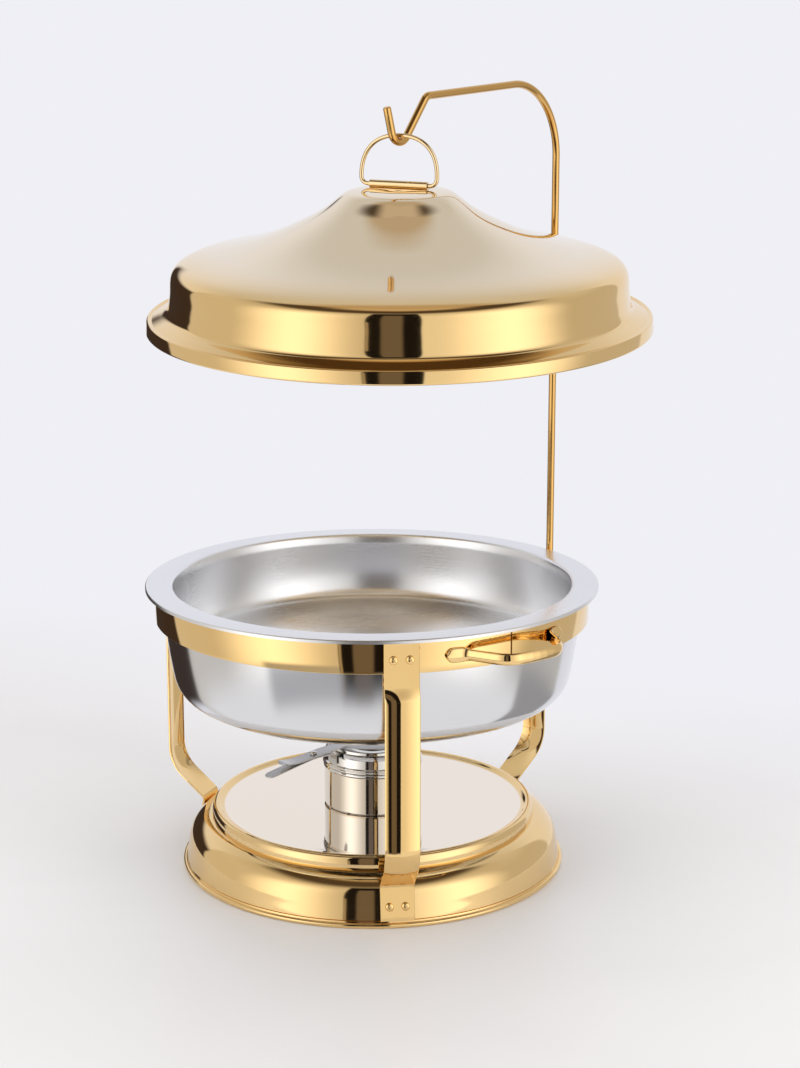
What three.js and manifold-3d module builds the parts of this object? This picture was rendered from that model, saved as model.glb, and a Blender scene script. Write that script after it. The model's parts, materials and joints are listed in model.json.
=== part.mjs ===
// Round chafing dish with a hook that hangs the lid above the pans. Millimetres, +Z up.
// The object is laid out around the base's axis, with the hook rod and the rear leg at +Y and
// the handles at +X and -X. The last step moves it so that its footprint is centred on the origin.
import * as THREE from 'three';
import { mergeVertices } from 'three/addons/utils/BufferGeometryUtils.js';
import Module from 'manifold-3d';

const wasm = await Module();
wasm.setup();

// ---- driving dimensions ----
const ROUND = 36;                 // facets round the large turned pieces
const GAP = 0.3;                  // clearance between pieces that touch

const BASE_WALL_R = 159;          // base wall just above its rolled rim
const BASE_WALL_Z = 6;
const BASE_TAPER = 0.169;         // inward lean of the base wall per mm of height
const BASE_CREST_Z = 39.8;
const SHEET = 1.2;                // base, tray and pan sheet thickness
const DECK_Z = 48.7;              // deck that the burner stands on

const RING_R = 182;               // support ring, outer
const RING_T = 1.5;
const RING_Z0 = 216.5;
const RING_Z1 = 243.0;

const LEG_ANGLES = { leg_front_right: 60.6, leg_rear: 182, leg_front_left: -58.4 };
const LEG_W = 27.6;
const LEG_T = 1.7;
const LEG_CROWN = 2.2;            // how far the middle of a leg stands proud of its edges
const LEG_TAB_R = 184;            // outer face of the top tab
const LEG_POST_R = 189;           // outer face of the upright, at its edges
const SCREW_PITCH = 12.8;
const SCREW_TOP_Z = 228;
const SCREW_FOOT_Z = 17;

const HANDLE_Z = 228.5;
const HANDLE_T = 2.6;
const HANDLE_PAD_HALF = 5.8;
const HANDLE_BAR_HALF = 4.6;

const PAN_FLANGE_Z = 245.4;       // top of the food pan's flange
const PAN_FLANGE_R = 190;

const ROD_R = 3.15;
const ROD_Y = 198;                // the hook rod's axis
const ROD_Z0 = 157.5;
const ARM_TURN = 15.06;           // the hook's arm points this far from -Y towards +X
const ARM_PATH = [[0, 655.35, 61], [185.4, 644.6, 9], [224.0, 598.6, 11], [236.0, 637.2, 0]];

const BAIL_R = 1.7;
const BAIL_H = 37.9;              // sleeve axis to the middle of the arch
const BAIL_HALF = 31.4;
const BAIL_FOOT = 5.5;            // corner radius beside the sleeve
const SLEEVE_TURN = 32.8;         // sleeve axis from +X
const SLEEVE_L = 48;
const SLEEVE_R = 3.1;
const SLEEVE_RISE = 3.7;          // sleeve axis above the lid's top disc

const LID_TILT = 4.84;            // the hanging lid tips towards the front
const LID_TILT_AXIS = 48.9;       // direction of the tilt axis from +X
const LID_TOP = 107.5;            // top disc above the rim's plane
const LID_T = 1.0;
const BRACKET_SHIFT = 5.5;        // bracket off the lid's centre, away from the lowest edge

const BURNER_R = 41.5;
const PIVOT_Y = -62;              // damper pivot
const CENTRE = [19.3, -4.9];        // footprint centre, base axis at 0, 0

const rad = THREE.MathUtils.degToRad;
const group = new THREE.Group();

// ---- materials ----
const GOLD = { color: 0xd9ad55, metalness: 1, roughness: 0.12 };
const STEEL = { color: 0xc9cacc, metalness: 1, roughness: 0.28 };
const BRIGHT = { color: 0xd2d2d0, metalness: 1, roughness: 0.16 };

function put(name, geometry, look) {
  const mesh = new THREE.Mesh(geometry, new THREE.MeshStandardMaterial(look));
  mesh.name = name;
  group.add(mesh);
  return mesh;
}

// ---- solids ----
function toSolid(geometry) {
  const bare = new THREE.BufferGeometry();
  bare.setAttribute('position', geometry.getAttribute('position').clone());
  if (geometry.index) bare.setIndex(geometry.index.clone());
  const merged = mergeVertices(bare, 1e-4);
  return new wasm.Manifold(new wasm.Mesh({
    numProp: 3,
    vertProperties: new Float32Array(merged.getAttribute('position').array),
    triVerts: new Uint32Array(merged.index.array),
  }));
}

function fromSolid(solid) {
  const mesh = solid.getMesh();
  const geometry = new THREE.BufferGeometry();
  geometry.setAttribute('position', new THREE.BufferAttribute(new Float32Array(mesh.vertProperties), 3));
  geometry.setIndex(new THREE.BufferAttribute(new Uint32Array(mesh.triVerts), 1));
  const flat = geometry.toNonIndexed();
  flat.computeVertexNormals();
  return flat;
}

function cut(geometry, tools) {
  return fromSolid(tools.reduce((solid, tool) => solid.subtract(toSolid(tool)), toSolid(geometry)));
}

// Turned piece from [radius, height] points, its axis along Z.
function turned(points, facets = ROUND) {
  const outline = points.map(([r, z]) => new THREE.Vector2(r, z));
  if (THREE.ShapeUtils.area(outline) < 0) outline.reverse();
  const lathe = new THREE.LatheGeometry(outline, facets);
  lathe.rotateX(Math.PI / 2);
  return lathe;
}

function arc(cx, cy, r, from, to, n) {
  return Array.from({ length: n + 1 }, (_, i) => {
    const a = rad(from + (to - from) * i / n);
    return [cx + r * Math.cos(a), cy + r * Math.sin(a)];
  });
}

// Rounds the corners of a polyline of [x, y, corner radius] points.
function rounded(points, step = 10) {
  const out = [];
  points.forEach(([x, y, r = 0], i) => {
    if (!r || i === 0 || i === points.length - 1) { out.push([x, y]); return; }
    const p = new THREE.Vector2(x, y);
    const a = new THREE.Vector2(...points[i - 1].slice(0, 2)).sub(p).normalize();
    const b = new THREE.Vector2(...points[i + 1].slice(0, 2)).sub(p).normalize();
    const half = Math.acos(THREE.MathUtils.clamp(a.dot(b), -1, 1)) / 2;
    const centre = a.clone().add(b).normalize().multiplyScalar(r / Math.sin(half)).add(p);
    const from = a.clone().multiplyScalar(r / Math.tan(half)).add(p).sub(centre);
    const to = b.clone().multiplyScalar(r / Math.tan(half)).add(p).sub(centre);
    let sweep = to.angle() - from.angle();
    if (sweep > Math.PI) sweep -= 2 * Math.PI;
    if (sweep < -Math.PI) sweep += 2 * Math.PI;
    const n = Math.max(2, Math.ceil(Math.abs(sweep) * 180 / Math.PI / step));
    for (let k = 0; k <= n; k++) {
      const t = from.angle() + sweep * k / n;
      out.push([centre.x + r * Math.cos(t), centre.y + r * Math.sin(t)]);
    }
  });
  return out;
}

// Curve through a list of points, one step per point.
class Polyline extends THREE.Curve {
  constructor(points) {
    super();
    this.points = points;
  }
  getPoint(t) {
    const last = this.points.length - 1;
    const i = Math.min(Math.floor(t * last + 1e-9), last - 1);
    return this.points[i].clone().lerp(this.points[i + 1], t * last - i);
  }
  getTangentAt(t) {
    const i = Math.round(t * (this.points.length - 1));
    const before = this.points[Math.max(0, i - 1)];
    const here = this.points[i];
    const after = this.points[Math.min(this.points.length - 1, i + 1)];
    const into = here.clone().sub(before).normalize();
    const away = after.clone().sub(here).normalize();
    return into.add(away).normalize();
  }
  getSpacedPoints() {
    return this.points.map((p) => p.clone());
  }
}

// Round bar along a list of Vector3 points.
function bar(points, radius, sides = 10) {
  const section = new THREE.Shape(arc(0, 0, radius, 0, 360, sides).slice(0, -1)
    .map(([x, y]) => new THREE.Vector2(x, y)));
  return new THREE.ExtrudeGeometry(section, {
    extrudePath: new Polyline(points), steps: points.length - 1, bevelEnabled: false, curveSegments: 1,
  });
}

// Strip of sheet along stations {at, out, across, half, crown}: at is the middle of the outer
// face, out its normal, across the width direction, half the half width, crown its height.
function strip(stations, t, columns = 8) {
  const us = Array.from({ length: columns + 1 }, (_, i) => -1 + 2 * i / columns);
  const positions = [];
  const index = [];
  for (const s of stations) {
    for (const face of [0, 1]) {
      for (const u of us) {
        const p = s.at.clone().addScaledVector(s.across, u * s.half);
        p.addScaledVector(s.out, (s.crown ?? 0) * (1 - u * u) - face * t);
        positions.push(p.x, p.y, p.z);
      }
    }
  }
  const n = us.length;
  const row = 2 * n;
  const quad = (a, b, c, d) => index.push(a, b, c, a, c, d);
  for (let i = 0; i + 1 < stations.length; i++) {
    const a = i * row;
    const b = a + row;
    for (let j = 0; j + 1 < n; j++) {
      quad(a + j, b + j, b + j + 1, a + j + 1);
      quad(a + n + j + 1, b + n + j + 1, b + n + j, a + n + j);
    }
    quad(a, a + n, b + n, b);
    quad(a + n - 1, b + n - 1, b + row - 1, a + row - 1);
  }
  const last = (stations.length - 1) * row;
  for (let j = 0; j + 1 < n; j++) {
    quad(j, j + 1, n + j + 1, n + j);
    quad(last + j, last + n + j, last + n + j + 1, last + j + 1);
  }
  const geometry = new THREE.BufferGeometry();
  geometry.setAttribute('position', new THREE.Float32BufferAttribute(positions, 3));
  geometry.setIndex(index);
  const solid = toSolid(geometry);
  if (solid.volume() > 0) return fromSolid(solid);
  geometry.setIndex(index.map((_, i) => index[i - i % 3 + [0, 2, 1][i % 3]]));
  return fromSolid(toSolid(geometry));
}

// Cylinder from z0 to z1 along Z, then free to be turned into place.
function rodZ(r, z0, z1, facets) {
  return turned([[0, z0], [r, z0], [r, z1], [0, z1]], facets);
}

// ---- base ----
const wallAt = (z) => BASE_WALL_R - BASE_TAPER * (z - BASE_WALL_Z);
const baseProfile = [
  ...arc(161.3, 2.1, 2.1, 186, 480, 7),
  [BASE_WALL_R, BASE_WALL_Z], [155.9, 23.6], [154.3, 28.0], [151.4, 32.0], [147.9, 35.3],
  [143.7, 37.8], [139.2, 39.3], [134.4, BASE_CREST_Z], [121, BASE_CREST_Z],
  [121, BASE_CREST_Z - SHEET], [134.3, BASE_CREST_Z - SHEET], [142.6, 36.9], [149.4, 32.2],
  [153.2, 27.2], [154.7, 23.3], [157.6, 5.8], [158.4, 2.8],
];
const screwTools = [];
const screwProfile = [
  [0, -7.3], [1.95, -7.3], [1.95, 0.3], [3.5, 0.3], [3.4, 1.2], [2.2, 2.3], [0, 2.5],
];

// Places a piece made along +Z so that +Z points out of the leg at the given height and side.
function atLeg(geometry, angle, side, foot) {
  const lean = foot ? Math.atan(BASE_TAPER) : 0;
  const z = foot ? SCREW_FOOT_Z : SCREW_TOP_Z;
  const r = foot ? wallAt(z) + 2.03 : LEG_TAB_R;
  geometry.rotateX(Math.PI / 2 - lean);
  geometry.translate(side * SCREW_PITCH / 2, -r, z);
  geometry.rotateZ(rad(angle));
  return geometry;
}

for (const [leg, angle] of Object.entries(LEG_ANGLES)) {
  for (const foot of [false, true]) {
    for (const side of [-1, 1]) {
      const where = `${leg}_${foot ? 'foot' : 'top'}_${side < 0 ? 'a' : 'b'}`;
      screwTools.push(atLeg(rodZ(2.2, -8, 3, 10), angle, side, foot));
      put(`screw_${where}`, atLeg(turned(screwProfile, 10), angle, side, foot), GOLD);
      const nut = turned([[2.4, -6.9], [3.9, -6.9], [3.9, -4.6], [2.4, -4.6], [2.4, -6.9]], 6);
      put(`nut_${where}`, atLeg(nut, angle, side, foot), GOLD);
    }
  }
}

put('base_shell', cut(turned([...baseProfile, baseProfile[0]]), screwTools), GOLD);

put('fuel_tray', turned([
  [0, DECK_Z], [127.8, DECK_Z], [130.0, 49.8], [131.8, 51.0], [133.5, 51.3], [135.4, 50.8],
  [137.1, 49.0], [137.8, 45.6], [137.9, BASE_CREST_Z + GAP], [136.6, BASE_CREST_Z + GAP],
  [136.4, 45.4], [135.2, 49.0], [133.3, 50.0], [131.5, 49.2], [128.2, DECK_Z - SHEET],
  [0, DECK_Z - SHEET],
]), GOLD);

// ---- legs ----
const legPath = rounded([
  [LEG_TAB_R, 242.4], [LEG_TAB_R, 208.0, 16], [LEG_POST_R, 195.0, 16],
  [LEG_POST_R, 62.0, 34], [wallAt(34.2) + 2.03, 34.2, 4], [wallAt(5.8) + 2.03, 5.8],
], 12);

// The crown rises in the jog, and fades out above the foot.
function crownAt(z) {
  const rise = THREE.MathUtils.smoothstep(208 - z, 0, 14);
  const fade = THREE.MathUtils.smoothstep(z, 38, 58);
  return LEG_CROWN * rise * fade;
}

function legStations() {
  const points = [];
  legPath.forEach((p, i) => {
    points.push(p);
    const q = legPath[i + 1];
    if (!q) return;
    const n = Math.floor(Math.hypot(q[0] - p[0], q[1] - p[1]) / 16);
    for (let k = 1; k <= n; k++) {
      points.push([p[0] + (q[0] - p[0]) * k / (n + 1), p[1] + (q[1] - p[1]) * k / (n + 1)]);
    }
  });
  return points.map((p, i) => {
    const a = points[Math.max(0, i - 1)];
    const b = points[Math.min(points.length - 1, i + 1)];
    const d = new THREE.Vector2(b[0] - a[0], b[1] - a[1]).normalize();
    return {
      at: new THREE.Vector3(0, -p[0], p[1]),
      out: new THREE.Vector3(0, d.y, d.x),
      across: new THREE.Vector3(1, 0, 0),
      half: LEG_W / 2,
      crown: crownAt(p[1]),
    };
  });
}

for (const [leg, angle] of Object.entries(LEG_ANGLES)) {
  const blank = strip(legStations(), LEG_T, 4);
  blank.rotateZ(rad(angle));
  put(leg, cut(blank, screwTools), GOLD);
}

// ---- support ring and handles ----
const seam = new THREE.BoxGeometry(1, 1.6, 40);
seam.translate(RING_R + 0.1, 0, HANDLE_Z);
put('support_ring', cut(turned([
  [RING_R - RING_T, RING_Z0], [RING_R, RING_Z0], [RING_R, RING_Z1], [RING_R - RING_T, RING_Z1],
  [RING_R - RING_T, RING_Z0],
]), [...screwTools, seam]), GOLD);

// Handle outline seen from above: pads that follow the ring, joined by a bow.
function handlePath() {
  const padR = RING_R + GAP + HANDLE_T + 0.1;
  const pad = (turn, r = 0) => [padR * Math.cos(rad(turn)), padR * Math.sin(rad(turn)), r];
  return rounded([
    pad(-18.4), pad(-17.4), pad(-16.2), pad(-13.7, 7), [213.6, -28.0, 21], [216.4, 0, 140],
    [213.6, 28.0, 21], pad(13.7, 7), pad(16.2), pad(17.4), pad(18.4),
  ], 16);
}

function handle(turn) {
  const path = handlePath();
  const runs = [0];
  for (let i = 1; i < path.length; i++) {
    runs.push(runs[i - 1] + Math.hypot(path[i][0] - path[i - 1][0], path[i][1] - path[i - 1][1]));
  }
  const total = runs.at(-1);
  const height = (s) => {
    const end = Math.min(s, total - s);
    const r = HANDLE_PAD_HALF;
    const round = end < r ? Math.sqrt(r ** 2 - (r - Math.max(end, 0.7)) ** 2) : r;
    return round - (r - HANDLE_BAR_HALF) * THREE.MathUtils.smoothstep(end, 12, 19);
  };
  const stations = path.map((p, i) => {
    const a = path[Math.max(0, i - 1)];
    const b = path[Math.min(path.length - 1, i + 1)];
    const d = new THREE.Vector2(b[0] - a[0], b[1] - a[1]).normalize();
    return {
      at: new THREE.Vector3(p[0], p[1], HANDLE_Z),
      out: new THREE.Vector3(d.y, -d.x, 0),
      across: new THREE.Vector3(0, 0, 1),
      half: height(runs[i]),
      crown: 0.7,
    };
  });
  const geometry = strip(stations, HANDLE_T, 4);
  geometry.rotateZ(rad(turn));
  return geometry;
}
put('handle_right', handle(0), GOLD);
put('handle_left', handle(180), GOLD);

// ---- pans ----
put('water_pan', turned([
  [0, 145.6], [118, 146.0], [143, 147.8], [157, 152.3], [164, 159], [168.6, 173], [174.6, 216],
  [176.6, 238], [179.8, RING_Z1 + GAP], [188.0, RING_Z1 + GAP], [188.0, RING_Z1 + 1.2],
  [179.3, RING_Z1 + 1.2], [175.4, 238.2], [173.4, 216.2], [167.4, 173.3], [163.0, 159.8],
  [156.4, 153.4], [142.8, 149.0], [118, 147.2], [0, 146.8],
]), STEEL);

put('food_pan', turned([
  [0, 183.0], [130, 183.3], [148, 185.3], [157, 190.2], [161.5, 199], [166.6, 238],
  [169.4, PAN_FLANGE_Z - 1.0], [188.7, PAN_FLANGE_Z - 1.0], [188.9, 242.6], [PAN_FLANGE_R, 242.6],
  [PAN_FLANGE_R, PAN_FLANGE_Z - 0.6], [189.4, PAN_FLANGE_Z], [169.0, PAN_FLANGE_Z],
  [165.4, 238.3], [160.3, 199.3], [156.2, 191.2], [147.6, 186.5], [130, 184.5], [0, 184.2],
]), STEEL);

// ---- hook rod ----
const armX = Math.sin(rad(ARM_TURN));
const armY = -Math.cos(rad(ARM_TURN));
const onArm = ([s, z]) => new THREE.Vector3(s * armX, ROD_Y + s * armY, z);
const hookPath = rounded([[0, ROD_Z0], ...ARM_PATH], 14);
const lowest = rounded(ARM_PATH, 1).reduce((a, b) => (b[1] < a[1] ? b : a));
put('hook_rod', bar(hookPath.map(onArm), ROD_R), GOLD);

// The rod's foot socket has a pad that is welded to the rear leg.
put('rod_socket', (() => {
  const tube = turned([
    [0, 152.5], [4.7, 152.5], [5.2, 153.0], [5.2, 194.5], [4.7, 195], [ROD_R + 0.1, 195],
    [ROD_R + 0.1, 157.2], [0, 157.2],
  ], 24);
  tube.translate(0, ROD_Y, 0);
  const pad = new THREE.BoxGeometry(7, 2.6, 30);
  pad.translate(0, ROD_Y - 5.05, 174);
  const bore = rodZ(ROD_R + 0.1, 157.2, 200, 24).translate(0, ROD_Y, 0);
  const whole = toSolid(tube).add(toSolid(pad)).subtract(toSolid(bore));
  return fromSolid(whole);
})(), GOLD);

// ---- bail ----
const tip = new THREE.Quaternion().setFromAxisAngle(
  new THREE.Vector3(Math.cos(rad(LID_TILT_AXIS)), Math.sin(rad(LID_TILT_AXIS)), 0), rad(LID_TILT));
const sleeveFlat = new THREE.Vector3(Math.cos(rad(SLEEVE_TURN)), Math.sin(rad(SLEEVE_TURN)), 0);
const sleeveAxis = sleeveFlat.clone().applyQuaternion(tip);
const bailUp = new THREE.Vector3(0, 0, 1).addScaledVector(sleeveAxis, -sleeveAxis.z).normalize();
const archTop = onArm(lowest).add(new THREE.Vector3(0, 0, ROD_R + BAIL_R + 0.2));
const sleeveMid = archTop.clone().addScaledVector(bailUp, -BAIL_H);
const onBail = ([x, y]) => sleeveMid.clone().addScaledVector(sleeveAxis, x).addScaledVector(bailUp, y);
const corner = (sx) => Array.from({ length: 5 }, (_, i) => {
  const a = rad(-90 + 22.5 * i);
  return [sx * (BAIL_HALF - BAIL_FOOT + BAIL_FOOT * Math.cos(a)), BAIL_FOOT + BAIL_FOOT * Math.sin(a)];
});
const arch = Array.from({ length: 17 }, (_, i) => {
  const a = rad(11.25 * i);
  const full = (v) => Math.sign(v) * Math.abs(v) ** 0.84;
  return [BAIL_HALF * full(Math.cos(a)), BAIL_FOOT + (BAIL_H - BAIL_FOOT) * full(Math.sin(a))];
});
put('bail', bar([
  [1, 0], ...corner(1), ...arch.slice(1, -1), ...corner(-1).reverse(), [-1, 0],
].map(onBail), BAIL_R, 10), GOLD);

// ---- lid ----
const drop = new THREE.Vector3(0, 0, -(LID_TOP + SLEEVE_RISE)).applyQuaternion(tip);
const lidPoint = sleeveMid.clone().add(drop);
const shiftTurn = rad(LID_TILT_AXIS + 3.9);
const shift = new THREE.Vector3(-Math.sin(shiftTurn), Math.cos(shiftTurn), 0).multiplyScalar(BRACKET_SHIFT);
lidPoint.sub(shift.clone().applyQuaternion(tip));
const onLid = (geometry) => geometry.applyQuaternion(tip).translate(lidPoint.x, lidPoint.y, lidPoint.z);

const lidOuter = [
  [0, LID_TOP], [36, 107.4], [42, 105.9], [47, 102.7], [56, 95.5], [66, 89.2], [80, 82.0],
  [100, 73.0], [125, 64.6], [150, 58.4], [164, 54.9], [171.5, 52.3], [176.3, 49.4], [179.2, 45.6],
  [180.5, 41.0], [181.1, 33.0], [182.0, 24.5], [182.8, 19.5], [184.6, 15.9], [188.6, 13.6],
  [193.0, 11.7], [196.0, 10.4],
];
const lidInner = lidOuter.map(([r, z], i, all) => {
  const a = all[Math.max(0, i - 1)];
  const b = all[Math.min(all.length - 1, i + 1)];
  const l = Math.hypot(b[0] - a[0], b[1] - a[1]);
  return [r === 0 ? 0 : r + (b[1] - a[1]) / l * LID_T, z - (b[0] - a[0]) / l * LID_T];
});
put('lid_shell', onLid(turned([
  ...lidOuter, [197.2, 10.3], [198.2, 10.9], [199.2, 10.8], [199.9, 10.2], [200.2, 9.2],
  ...arc(199.4, 1.6, 1.5, 0, -180, 6), [197.9, 3.6], [199.8, 3.8], [199.2, 8.9], [198.9, 9.7],
  [198.2, 9.8], [197.5, 9.25], [196.6, 9.2], ...lidInner.reverse(),
])), GOLD);

// Sleeve plate: a base strip with a rolled eye for the bail.
put('bail_bracket', onLid((() => {
  const eye = new THREE.Shape([
    [-6.5, 0.3], [6.5, 0.3], [6.5, 1.1], ...arc(0, SLEEVE_RISE, SLEEVE_R, -64, 244, 14), [-6.5, 1.1],
  ].map(([x, y]) => new THREE.Vector2(x, y)));
  eye.holes.push(new THREE.Path(arc(0, SLEEVE_RISE, BAIL_R + 0.09, 0, 360, 20).slice(0, -1)
    .map(([x, y]) => new THREE.Vector2(x, y))));
  const body = new THREE.ExtrudeGeometry(eye, { depth: SLEEVE_L, bevelEnabled: false, curveSegments: 1 });
  body.translate(0, 0, -SLEEVE_L / 2).rotateX(Math.PI / 2).rotateZ(Math.PI / 2 + rad(SLEEVE_TURN));
  return body.translate(shift.x, shift.y, LID_TOP);
})()), GOLD);

// ---- burner ----
put('burner_cup', turned([
  [0, DECK_Z + 0.2], [40.2, DECK_Z + 0.2], [BURNER_R, 50.6], [BURNER_R, 82.4], [42.4, 83.4],
  [BURNER_R, 85.0], [BURNER_R - 1.2, 85.0], [BURNER_R - 1.2, 50.4], [0, 50.1],
], 32), BRIGHT);
put('fuel_cup', turned([
  [0, 50.5], [36, 50.5], [36.6, 83.0], [35.4, 83.0], [35, 51.6], [0, 51.6],
], 24), BRIGHT);
put('burner_collar', turned([
  [40.4, 85.3], [42.0, 85.3], [42.9, 86.7], [42.0, 88.0], [42.7, 89.0], [41.3, 90.3],
  [41.0, 97.0], [38.8, 100.6], [37.4, 101.0], [36.8, 103.4], [35.6, 103.4], [24, 101.4],
  [24, 100.4], [37.6, 99.6], [39.8, 96.6], [39.8, 88.0], [40.4, 85.3],
], 28), BRIGHT);

// A strip station at y, with its upper face at z, leaning by fall millimetres per millimetre.
const level = (y, z, half, fall) => ({
  at: new THREE.Vector3(0, y, z),
  out: new THREE.Vector3(0, -Math.sin(Math.atan(fall)), Math.cos(Math.atan(fall))),
  across: new THREE.Vector3(1, 0, 0),
  half,
});
const pivotHole = rodZ(2.05, 80, 120, 16).translate(0, PIVOT_Y, 0);

// The lower strip rises from the collar, then leans down towards its rounded end.
put('burner_handle', cut(strip([
  level(-41.8, 91.5, 6, -1e3), level(-41.8, 98.0, 6, -1e3), level(-43.0, 100.6, 6, -1.2),
  level(-46.0, 101.9, 6, -0.2), level(-54, 101.9, 6, 0), level(-64, 101.9, 6, 0.06),
  ...[[-84, 6], [-103.5, 6], [-106.5, 5.2], [-108.6, 3.8], [-109.6, 1.8]]
    .map(([y, half]) => level(y, 101.9 + (y + 64) * 0.185, half, 0.185)),
], 1.0, 2), [pivotHole]), BRIGHT);

// The damper's arm lies above the lower strip and ends in a wavy thumb rest.
const damperDisc = turned([[0, 104.9], [32.6, 104.9], [33, 105.4], [32.6, 105.9], [0, 105.9]], 32);
const damperArm = strip([
  level(-18, 105.9, 6.8, 0), level(-34, 105.9, 6.8, 0.04), level(-62, 103.6, 6.4, 0.085),
  level(-86, 101.6, 6.4, 0.03), level(-90, 102.1, 6.4, -0.15), level(-93, 102.5, 5.8, 0),
  level(-96, 102.0, 4.4, 0.3),
], 1.0, 2);
put('damper_plate', cut(fromSolid(toSolid(damperDisc).add(toSolid(damperArm))), [pivotHole]), BRIGHT);
put('damper_rivet', turned([
  [0, 99.3], [3.2, 99.3], [3.2, 100.5], [1.97, 100.5], [1.97, 104.2], [3.4, 104.2], [2.4, 105.4],
  [0, 105.8],
], 16).translate(0, PIVOT_Y, 0), BRIGHT);

for (const mesh of group.children) mesh.geometry.translate(-CENTRE[0], -CENTRE[1], 0);

export default group;
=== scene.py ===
"""Round chafing dish with its lid hung on a hook rod: smooth pieces, finishes and a light studio.

Metres, +Z up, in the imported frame. Outlines are written in millimetres around the piece's own axis.
"""

import json
import math

import bmesh
import bpy
import numpy as np
from mathutils import Matrix, Quaternion, Vector


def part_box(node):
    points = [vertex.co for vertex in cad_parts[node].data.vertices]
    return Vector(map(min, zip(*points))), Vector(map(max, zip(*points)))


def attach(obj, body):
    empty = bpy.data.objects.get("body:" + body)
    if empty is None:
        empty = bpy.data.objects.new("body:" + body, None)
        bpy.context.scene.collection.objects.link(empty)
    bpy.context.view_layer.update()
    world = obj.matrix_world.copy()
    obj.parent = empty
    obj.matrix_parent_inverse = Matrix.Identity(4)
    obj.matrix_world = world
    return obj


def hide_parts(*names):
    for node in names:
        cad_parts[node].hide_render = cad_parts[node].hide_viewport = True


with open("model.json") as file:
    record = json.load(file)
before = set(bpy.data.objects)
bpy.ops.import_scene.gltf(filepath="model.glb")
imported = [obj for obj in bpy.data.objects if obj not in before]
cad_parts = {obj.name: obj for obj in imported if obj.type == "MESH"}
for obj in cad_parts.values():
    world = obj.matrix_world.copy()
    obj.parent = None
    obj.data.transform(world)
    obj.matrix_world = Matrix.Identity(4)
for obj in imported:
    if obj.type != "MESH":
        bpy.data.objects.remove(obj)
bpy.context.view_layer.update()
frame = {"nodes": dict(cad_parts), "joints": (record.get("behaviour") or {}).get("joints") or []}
MM = 0.001
ROUND = 256                       # segments round the large turned pieces


# ---- places, all from the frame ----
def centre_of(node):
    low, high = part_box(node)
    return (low + high) / 2


def joint_place(name):
    return Vector(next(j for j in frame["joints"] if j["name"] == name)["pos_m"])


ring_middle = centre_of("support_ring")
AXIS = Vector((ring_middle.x, ring_middle.y, 0))
ROD = Vector((*joint_place("hook_swivel")[:2], 0))
ARCH = joint_place("bail_swing")
SLEEVE = joint_place("lid_tip")
PIVOT = Vector((*joint_place("damper_swing")[:2], 0))
LEG_TURNS = {"leg_front_right": 60.6, "leg_rear": 182, "leg_front_left": -58.4}
ROD_R = 3.15                      # radius of the hook rod
BAIL_R = 1.7                      # radius of the bail's wire
SLEEVE_TURN = 32.8                # degrees from +X to the sleeve, seen from above
SLEEVE_RISE = 3.7                 # middle of the sleeve over the lid's top disc
SLEEVE_R, SLEEVE_HALF = 3.1, 24   # its outer radius and half its length
LID_TILT = 4.84                   # degrees that the lid leans, hanging
LID_TILT_TURN = 48.9              # degrees from +X to the level line that it leans round
LID_TOP = 107.5                   # height of the top disc
BRACKET_SHIFT = 5.5               # the sleeve is this far from the middle of the disc,
BRACKET_TURN = LID_TILT_TURN + 3.9    # this many degrees from +Y
tilt = Quaternion((math.cos(math.radians(LID_TILT_TURN)), math.sin(math.radians(LID_TILT_TURN)), 0),
                  math.radians(LID_TILT))


# ---- outlines ----
def arc(cx, cy, r, start, end, n):
    turns = np.radians(np.linspace(start, end, n + 1))
    return [(cx + r * math.cos(a), cy + r * math.sin(a)) for a in turns]


def rounded(points, step=6):
    """Polyline of (x, y, corner radius) points, its corners turned into arcs in steps of degrees."""
    out = []
    for i, point in enumerate(points):
        here, r = Vector(point[:2]), point[2] if len(point) > 2 else 0
        if not r or i in (0, len(points) - 1):
            out.append(tuple(here))
            continue
        a = (Vector(points[i - 1][:2]) - here).normalized()
        b = (Vector(points[i + 1][:2]) - here).normalized()
        half = math.acos(max(-1, min(1, a.dot(b)))) / 2
        if half > math.radians(89.9):
            out.append(tuple(here))
            continue
        middle = here + (a + b).normalized() * r / math.sin(half)
        first = here + a * r / math.tan(half) - middle
        sweep = math.pi - 2 * half
        if first.x * (b.y - a.y) - first.y * (b.x - a.x) < 0:
            sweep = -sweep
        start = math.atan2(first.y, first.x)
        n = max(2, math.ceil(abs(math.degrees(sweep)) / step))
        turns = [start + sweep * k / n for k in range(n + 1)]
        out += [(middle.x + r * math.cos(t), middle.y + r * math.sin(t)) for t in turns]
    return out


def flowing(points, step=1.4):
    """Natural cubic spline through the points, in steps of millimetres, for smooth reflections."""
    p = np.array(points, float)
    t = np.concatenate([[0], np.cumsum(np.linalg.norm(np.diff(p, axis=0), axis=1))])
    h, n = np.diff(t), len(p)
    system, right = np.eye(n), np.zeros(p.shape)
    for i in range(1, n - 1):
        system[i, i - 1:i + 2] = h[i - 1], 2 * (h[i - 1] + h[i]), h[i]
        right[i] = 6 * ((p[i + 1] - p[i]) / h[i] - (p[i] - p[i - 1]) / h[i - 1])
    bend = np.linalg.solve(system, right)
    out = []
    for s in np.linspace(0, t[-1], max(3, int(t[-1] / step))):
        i = min(n - 2, max(0, int(np.searchsorted(t, s) - 1)))
        a, b, w = t[i + 1] - s, s - t[i], h[i]
        out.append(tuple((bend[i] * a ** 3 + bend[i + 1] * b ** 3) / (6 * w)
                         + (p[i] / w - bend[i] * w / 6) * a + (p[i + 1] / w - bend[i + 1] * w / 6) * b))
    return out


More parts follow.
